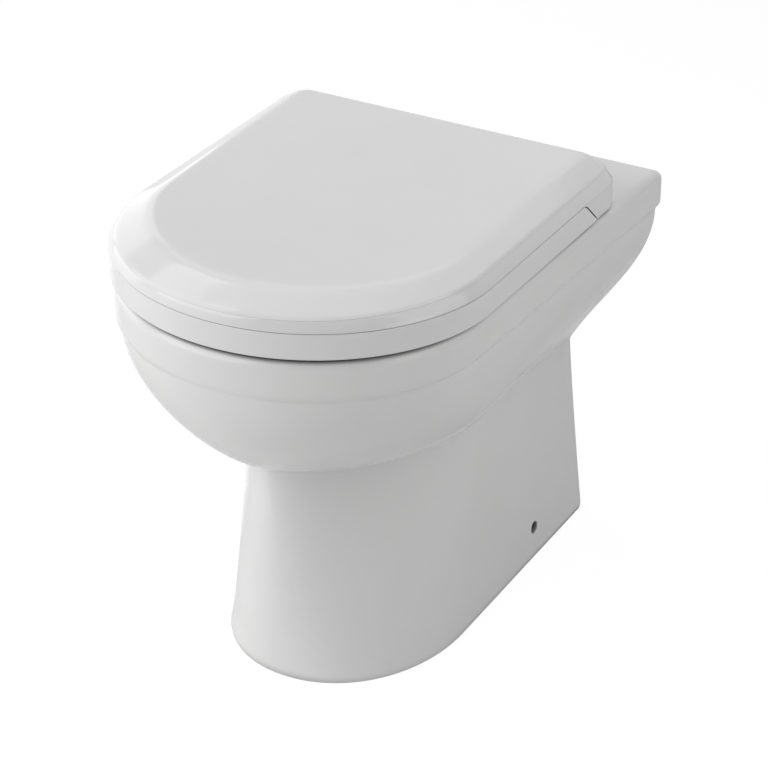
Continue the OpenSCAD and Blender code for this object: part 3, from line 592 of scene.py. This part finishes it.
def makePan():
    fine = 3
    inside = [level(bowlRing((k / 24) ** 1.3, 0), bowlZ((k / 24) ** 1.3)) for k in range(1, 25)]
    rings = trapRings(0, fine) + inside + rimInside() + rimOutside() + panOutside() + panHollow()
    rings += trapRings(pan["trapWall"], fine)[::-1]
    sharp = pan["sharpAngle"]
    body = outward(loopMesh("panBody", rings, sharp))
    combine(body, rearHollows(), "DIFFERENCE", sharp)
    combine(body, [soilSpigot(), ductLathe("duct", 0, pan["ductR"] + pan["ductWall"])], "UNION", sharp)
    combine(body, panHoles(), "DIFFERENCE", sharp)
    evenShading(body)
    dress(body, "china")
    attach(body, "base")
    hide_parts("pan")
    print("pan:", len(body.data.polygons), "faces")


makePan()


# ---- seat ring ----

seat = {
    "half": 181, "under": 403.5, "top": 428.3, "openHalf": 108, "openFront": -198, "openBack": 72,
    "endTop": 98, "endUnder": 125, "endRound": 14, "corner": 3.5, "underRound": 1.5, "topRound": 1.2,
    # share of the way in to the opening, and drop, across the top face
    "topFace": [(0.06, 0), (0.25, 0), (0.45, -0.1), (0.6, -0.6), (0.72, -1.4)],
    # distance out from the opening, and drop from the top or rise from the underside
    "openEdge": [(14, -2.6), (9, -4), (5.5, -5.8), (3, -7.7), (1.2, -10), (0, -13)],
    "openFoot": [(0, 8), (0, 4), (0.4, 2), (1.3, 0.6), (2.5, 0)],
    "hingeY": 160, "hingeZ": 433, "knuckle": 9.5, "bore": 4.06,
    "lugIn": 49.5, "lugOut": 65.5, "lugEdge": 1.0, "boreSpan": (45, 70), "sharpAngle": 50,
}
hingeAxis = (0, seat["hingeY"], seat["hingeZ"])


def seatEnd(z, gap=0.0):
    # where the sloping rear end of the seat stands at a height
    height = seat["top"] - seat["under"]
    lean = math.atan2(seat["endUnder"] - seat["endTop"], height)
    r = seat["endRound"] + gap
    corner = r * math.tan((math.pi / 2 - lean) / 2)
    grow = gap / math.cos(lean)
    topY, topZ = seat["endTop"] + grow - gap * math.tan(lean), seat["top"] + gap
    centreY, centreZ = topY - corner, topZ - r
    tangentZ = centreZ + r * math.sin(lean)
    if z >= tangentZ:
        return centreY + math.sqrt(max(0, r * r - (z - centreZ) ** 2))
    return topY + (topZ - z) * math.tan(lean)


def seatOutline(inset, z):
    back = seatEnd(z) - inset
    return dOutline(seat["half"] - inset, pan["front"] + inset, pan["straight"], 2,
                    seat["half"] - inset, back, seat["corner"])


def openingOutline(out):
    return eggOutline(seat["openHalf"] + out, seat["openFront"] - out, seat["openBack"] + out, 2)


def seatRings():
    under, top, low, high = seat["under"], seat["top"], seat["underRound"], seat["topRound"]
    rings = []
    for a in np.linspace(0, math.pi / 2, 5):  # lower outer edge
        z = under + low - low * math.cos(a)
        rings.append(level(seatOutline(low - low * math.sin(a), z), z))
    for z in (*np.linspace(under + 3, top - 9.5, 6), *np.linspace(top - 8.5, top - high, 8)):
        rings.append(level(seatOutline(0, z), z))
    for a in np.linspace(0.2, math.pi / 2, 6):  # upper outer edge
        z = top - high + high * math.sin(a)
        rings.append(level(seatOutline(high - high * math.cos(a), z), z))
    outer, inner = seatOutline(high, top), openingOutline(0)
    for t, drop in smoothCurve(seat["topFace"], 3):
        rings.append(level(outer * (1 - t) + inner * t, top + drop))
    for out, drop in smoothCurve(seat["openEdge"], 2):
        rings.append(level(openingOutline(out), top + drop))
    for out, rise in seat["openFoot"]:
        rings.append(level(openingOutline(out), under + rise))
    return rings


def seatLugs():
    (_, y, z), r, edge = hingeAxis, seat["knuckle"], seat["lugEdge"]
    inX, outX = seat["lugIn"], seat["lugOut"]
    profile = [(inX, r - edge), (inX + edge * 0.4, r - edge * 0.3), (inX + edge, r),
               (outX - edge, r), (outX - edge * 0.4, r - edge * 0.3), (outX, r - edge)]
    arm = [(y, z + r), (seat["endTop"] + 4, seat["top"] - 2),
           (seat["endUnder"] - 16, seat["under"] + 5), (y - 6, z - 7.3)]
    made = []
    for s in (-1, 1):
        made.append(lathe("lug", profile, hingeAxis, (s, 0, 0)))
        made.append(prism("arm", arm, *sorted((s * inX, s * outX))))
    return made


def pinBores(near, far):
    return [lathe("pinBore", [(s * near, seat["bore"]), (s * far, seat["bore"])], hingeAxis, (1, 0, 0))
            for s in (-1, 1)]


def makeSeat():
    sharp = seat["sharpAngle"]
    body = outward(loopMesh("seatBody", seatRings(), sharp))
    combine(body, seatLugs(), "UNION", sharp)
    combine(body, pinBores(*seat["boreSpan"]), "DIFFERENCE", sharp)
    dress(body, "seatPlastic")
    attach(body, "seat")
    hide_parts("seat_ring")
    print("seat:", len(body.data.polygons), "faces")


makeSeat()


# ---- lid ----

lid = {
    "seam": 428.7, "band": 439.2, "top": 450.9, "under": 402.6, "flatHalf": 150, "flatFront": -221,
    "bandHalf": 173.5, "bandStep": 2, "back": 173.5, "backTop": 157, "topCorner": 10, "bandCorner": 24,
    "wall": 3.5, "gap": 0.4, "earRound": 3,
    # share of the way down the slope, and drop
    "slope": [(-0.6, 0), (-0.35, -0.03), (-0.12, -0.25), (0.06, -0.95),
              (0.26, -2.75), (0.6, -6.4), (0.88, -9.45), (0.965, -10.75)],
    # inset and drop of the crease under the slope
    "crease": [(0.45, 0.15), (0.6, 0.4), (0.35, 0.8), (0.05, 1.3)],
    "lugIn": 99, "lugOut": 115, "boreSpan": (98, 116), "notchIn": 47.5, "notchOut": 97.5,
    "pocketIn": 12, "pocketOut": 152.5, "buffers": [(146, 20), (80, -196)], "bufferR": 6,
    "sharpAngle": 30,
}


def lidSlope(t, inset):
    full = t if t < 0 else t * (1.25 - 0.25 * t)
    half = mix(lid["flatHalf"], lid["bandHalf"], t) - inset
    tipY = mix(lid["flatFront"], pan["front"] + lid["bandStep"], t) + inset
    rearHalf = mix(lid["flatHalf"] + 3, lid["bandHalf"] - 1, t) - inset
    backY = mix(lid["backTop"], lid["back"] - lid["bandStep"], full) - inset
    return dOutline(half, tipY, pan["straight"], mix(1.9, 2, t), rearHalf, backY,
                    mix(lid["topCorner"], lid["bandCorner"], clamp01(t)))


def lidSide(inset, z):
    # the band leans in from the seam up to its top edge
    rise = clamp01((z - lid["seam"]) / (lid["band"] - lid["seam"]))
    side, step = inset + rise * (seat["half"] - lid["bandHalf"]), inset + rise * lid["bandStep"]
    return level(dOutline(seat["half"] - side, pan["front"] + step, pan["straight"], 2,
                          seat["half"] - 1 - side, lid["back"] - step, lid["bandCorner"]), z)


def lidRings():
    top, band, seam, under = lid["top"], lid["band"], lid["seam"], lid["under"]
    w, ear = lid["wall"], lid["earRound"]
    rings = []
    for t, drop in smoothCurve(lid["slope"], 4):
        rings.append(level(lidSlope(t, 0), top + drop))
    rings.append(level(lidSlope(0.995, 0), band + 0.2))
    for inset, drop in lid["crease"]:
        rings.append(lidSide(inset, band - drop))
    for inset, z in [(0, mix(seam, band, 0.6)), (0, mix(seam, band, 0.3)), (0, seam + 1.2), (0.15, seam + 0.4),
                     (0.3, seam), (0.3, seam - 1), (0, seam - 2), (0, under + 12), (0, under + 8)]:
        rings.append(lidSide(inset, z))
    for a in np.linspace(0.3, math.pi / 2, 5):  # lower edge of the ears
        rings.append(lidSide(ear - ear * math.cos(a), under + ear - ear * math.sin(a)))
    rings += [lidSide(w + 2.4, under), lidSide(w + 0.6, under + 4), lidSide(w, seam - 2),
              level(lidSlope(1, w - 0.8), band - 2), level(lidSlope(0.6, w - 1), mix(top, band, 0.6) - 3),
              level(lidSlope(0.1, w), top - w - 1), level(lidSlope(-0.4, w), top - w - 0.5)]
    return rings


def lidCutters():
    # room for the seat, the dampers and the hinge pillars
    under, top, gap, front = seat["under"], seat["top"], lid["gap"], pan["front"] - 20
    (_, y, z), r, low = hingeAxis, seat["knuckle"], seat["under"] - 10
    heights = np.concatenate([[low], np.linspace(under, top - 10, 4), np.linspace(top - 9, top + gap, 12)])
    room = [(front, low)] + [(seatEnd(h, gap), h) for h in heights] + [(front, top + gap)]
    cutters = [prism("seatRoom", room, -360, 360)]
    for s in (-1, 1):
        near, far = sorted((s * lid["pocketIn"], s * lid["pocketOut"]))
        cutters.append(lathe("pocket", [(near, r + 0.5), (far, r + 0.5)], hingeAxis, (1, 0, 0)))
        near, far = sorted((s * lid["notchIn"], s * lid["notchOut"]))
        cutters.append(block("notch", (near, y + r - 3.1, lid["under"] - 5), (far, y + 50, z + 7.5)))
    return cutters


def lidLugs():
    (_, y, z), r = hingeAxis, seat["knuckle"]
    ceiling, bossR = lid["top"] - lid["wall"] - 0.5, lid["bufferR"] + 1
    made = []
    for s in (-1, 1):
        near, far = sorted((s * lid["lugIn"], s * lid["lugOut"]))
        made.append(lathe("lug", [(near, r - 1), (near + 1, r), (far - 1, r), (far, r - 1)], hingeAxis, (1, 0, 0)))
        made.append(block("lugRib", (near, y - 9.5, z), (far, y - 1.5, ceiling + 1)))
        for x, bufferY in lid["buffers"]:
            made.append(lathe("boss", [(seat["top"] + 5.3, bossR), (ceiling + 1, bossR)],
                              (s * x, bufferY, 0), (0, 0, 1), 32))
    return made


def makeLid():
    sharp = lid["sharpAngle"]
    body = outward(cappedMesh("lidBody", lidRings(), sharp))
    combine(body, lidCutters(), "DIFFERENCE", sharp)
    combine(body, lidLugs(), "UNION", sharp)
    combine(body, pinBores(*lid["boreSpan"]), "DIFFERENCE", sharp)
    dress(body, "seatPlastic")
    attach(body, "cover")
    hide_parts("lid")
    print("lid:", len(body.data.polygons), "faces")


makeLid()


# ---- small parts that keep their solids ----

smallParts = {
    "seat_buffers": "bufferRubber", "lid_buffers": "bufferRubber",
    "hinge_pillar_left": "chrome", "hinge_pillar_right": "chrome",
    "hinge_base_left": "chrome", "hinge_base_right": "chrome",
    "hinge_pin_left": "pinSteel", "hinge_pin_right": "pinSteel", "pin_clips": "pinSteel",
    "seat_damper": "damperPlastic", "lid_damper": "damperPlastic",
    "deck_gaskets": "gasketRubber", "fixing_sleeves": "gasketRubber",
    "fixing_washers": "gasketRubber", "inlet_seal": "gasketRubber",
    "fixing_bolt_left": "boltSteel", "fixing_bolt_right": "boltSteel",
    # painted shade: the side screws are near black so that the side holes read as shaded
    "side_screw_left": "holeShadeSteel", "side_screw_right": "holeShadeSteel",
    # the side sleeves take the dark gasket rubber, partly as rubber sleeves and partly as painted shade in the
    # side holes
    "wing_nuts": "nutPlastic", "side_sleeves": "gasketRubber",
    "floor_bracket_left": "bracketSteel", "floor_bracket_right": "bracketSteel",
}
for nodeName, finish in smallParts.items():
    dress(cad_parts[nodeName], finish)
print("small parts dressed:", len(smallParts))


# ---- studio ----

studio = {
    "floor": 0.82, "floorShow": 0.94, "floorThin": 0.12, "floorHalf": 30, "world": 0.07, "aim": (0, 0, 0.25),
    # directions from which glossy surfaces mirror the white backdrop and the white floor
    "backdrop": {"azimuth": -150, "elevation": 15, "least": 0.15, "most": 1.0, "from": 0.0, "to": 0.75},
    "floorPatch": {"azimuth": -136, "elevation": 0, "least": 0.15, "most": 1.0, "from": 0.72, "to": 0.94},
    # each lamp: azimuth and elevation in degrees, distance, width and height in metres, power in watts
    "lamps": {
        "frontLamp": (-35, 25, 3.0, 2.8, 2.8, 60),
        "sideLamp": (80, 10, 3.0, 1.6, 1.6, 9.5),
        "leftLamp": (-90, 12, 2.6, 1.6, 1.6, 7.2),
        "highLamp": (-86, 52, 2.8, 1.6, 1.6, 9.6),
        "rearLamp": (-165, 62, 1.3, 1.3, 0.9, 2.1),
        "windowLamp": (-118, 49.5, 2.8, 0.8, 0.55, 1.7),
        "tallLamp": (-125, 17, 2.8, 1.25, 1.7, 6.2),
        "rightLamp": (95, 42, 1.7, 1.3, 1.3, 7.8),
    },
    "camera": {"place": (1.16066, -2.00475, 1.54503), "tilt": 60.633, "turn": 29.519, "lens": 132.87},
}


def skyward(azimuth, elevation):
    a, e = math.radians(azimuth), math.radians(elevation)
    return Vector((math.sin(a) * math.cos(e), -math.cos(a) * math.cos(e), math.sin(e)))


def backdropShare(tree, coordinates, spec):
    # share of white that a glossy ray meets in its direction
    place = addNode(tree, "ShaderNodeTexCoord")
    direction = addNode(tree, "ShaderNodeVectorMath", operation="NORMALIZE")
    tree.links.new(place.outputs[coordinates], direction.inputs[0])
    facing = addNode(tree, "ShaderNodeVectorMath", operation="DOT_PRODUCT")
    facing.inputs[1].default_value = skyward(spec["azimuth"], spec["elevation"])
    tree.links.new(direction.outputs["Vector"], facing.inputs[0])
    spread = addNode(tree, "ShaderNodeMapRange", interpolation_type="SMOOTHSTEP")
    ends = {"From Min": spec["from"], "From Max": spec["to"], "To Min": spec["least"], "To Max": spec["most"]}
    for key, value in ends.items():
        spread.inputs[key].default_value = value
    tree.links.new(facing.outputs["Value"], spread.inputs["Value"])
    return spread.outputs["Result"]


def whiteWhenSeen(tree, litOutput, shownOutput, glossShare):
    # camera and transmission rays see the shown shader, glossy rays a share of it, others the lit one
    path = addNode(tree, "ShaderNodeLightPath")
    gloss = addNode(tree, "ShaderNodeMath", operation="MULTIPLY")
    tree.links.new(glossShare, gloss.inputs[1])
    tree.links.new(path.outputs["Is Glossy Ray"], gloss.inputs[0])
    seen = path.outputs["Is Camera Ray"]
    for other in (gloss.outputs[0], path.outputs["Is Transmission Ray"]):
        most = addNode(tree, "ShaderNodeMath", operation="MAXIMUM")
        tree.links.new(seen, most.inputs[0])
        tree.links.new(other, most.inputs[1])
        seen = most.outputs[0]
    blend = addNode(tree, "ShaderNodeMixShader")
    tree.links.new(seen, blend.inputs[0])
    tree.links.new(litOutput, blend.inputs[1])
    tree.links.new(shownOutput, blend.inputs[2])
    return blend.outputs[0]


def grey(value):
    return (value, value, value, 1)


def makeWorld():
    world = bpy.data.worlds.new("studioWorld")
    world.use_nodes = True
    tree = world.node_tree
    lit = tree.nodes["Background"]
    lit.inputs["Color"].default_value = grey(1)
    lit.inputs["Strength"].default_value = studio["world"]
    shown = addNode(tree, "ShaderNodeBackground")
    shown.inputs["Strength"].default_value = 1
    shown.inputs["Color"].default_value = grey(1)
    share = backdropShare(tree, "Generated", studio["backdrop"])
    blend = whiteWhenSeen(tree, lit.outputs[0], shown.outputs[0], share)
    tree.links.new(blend, tree.nodes["World Output"].inputs["Surface"])
    scene.world = world


def makeFloor():
    mesh = bpy.data.meshes.new("floorSheet")
    half = studio["floorHalf"]
    corners = [(-half, -half, 0), (half, -half, 0), (half, half, 0), (-half, half, 0)]
    mesh.from_pydata(corners, [], [(0, 1, 2, 3)])
    floor = bpy.data.objects.new("floorSheet", mesh)
    scene.collection.objects.link(floor)
    made = bpy.data.materials.new("floorPaper")
    made.use_nodes = True
    tree = made.node_tree
    tree.nodes.remove(tree.nodes["Principled BSDF"])
    paper = addNode(tree, "ShaderNodeBsdfDiffuse")
    paper.inputs["Color"].default_value = grey(studio["floor"])
    glow = addNode(tree, "ShaderNodeEmission")
    glow.inputs["Strength"].default_value = studio["floorShow"]
    thin = addNode(tree, "ShaderNodeBsdfDiffuse")
    thin.inputs["Color"].default_value = grey(studio["floorThin"])
    both = addNode(tree, "ShaderNodeAddShader")
    tree.links.new(thin.outputs[0], both.inputs[0])
    tree.links.new(glow.outputs[0], both.inputs[1])
    share = backdropShare(tree, "Object", studio["floorPatch"])
    blend = whiteWhenSeen(tree, paper.outputs[0], both.outputs[0], share)
    tree.links.new(blend, tree.nodes["Material Output"].inputs["Surface"])
    mesh.materials.append(made)


def makeLamp(name, spec):
    azimuth, elevation, distance, width, height, power = spec
    data = bpy.data.lights.new(name, "AREA")
    data.shape = "RECTANGLE"
    data.size, data.size_y = width, height
    data.energy = power
    lamp = bpy.data.objects.new(name, data)
    away = skyward(azimuth, elevation)
    lamp.location = Vector(studio["aim"]) + away * distance
    lamp.rotation_euler = away.to_track_quat("Z", "Y").to_euler()
    scene.collection.objects.link(lamp)


def makeCamera():
    spec = studio["camera"]
    data = bpy.data.cameras.new("camera")
    data.lens = spec["lens"]
    data.sensor_width = 36
    data.clip_end = 100
    camera = bpy.data.objects.new("camera", data)
    camera.location = spec["place"]
    camera.rotation_euler = (math.radians(spec["tilt"]), 0, math.radians(spec["turn"]))
    scene.collection.objects.link(camera)
    scene.camera = camera


makeWorld()
makeFloor()
for lampName, lampSpec in studio["lamps"].items():
    makeLamp(lampName, lampSpec)
makeCamera()
print("studio made")
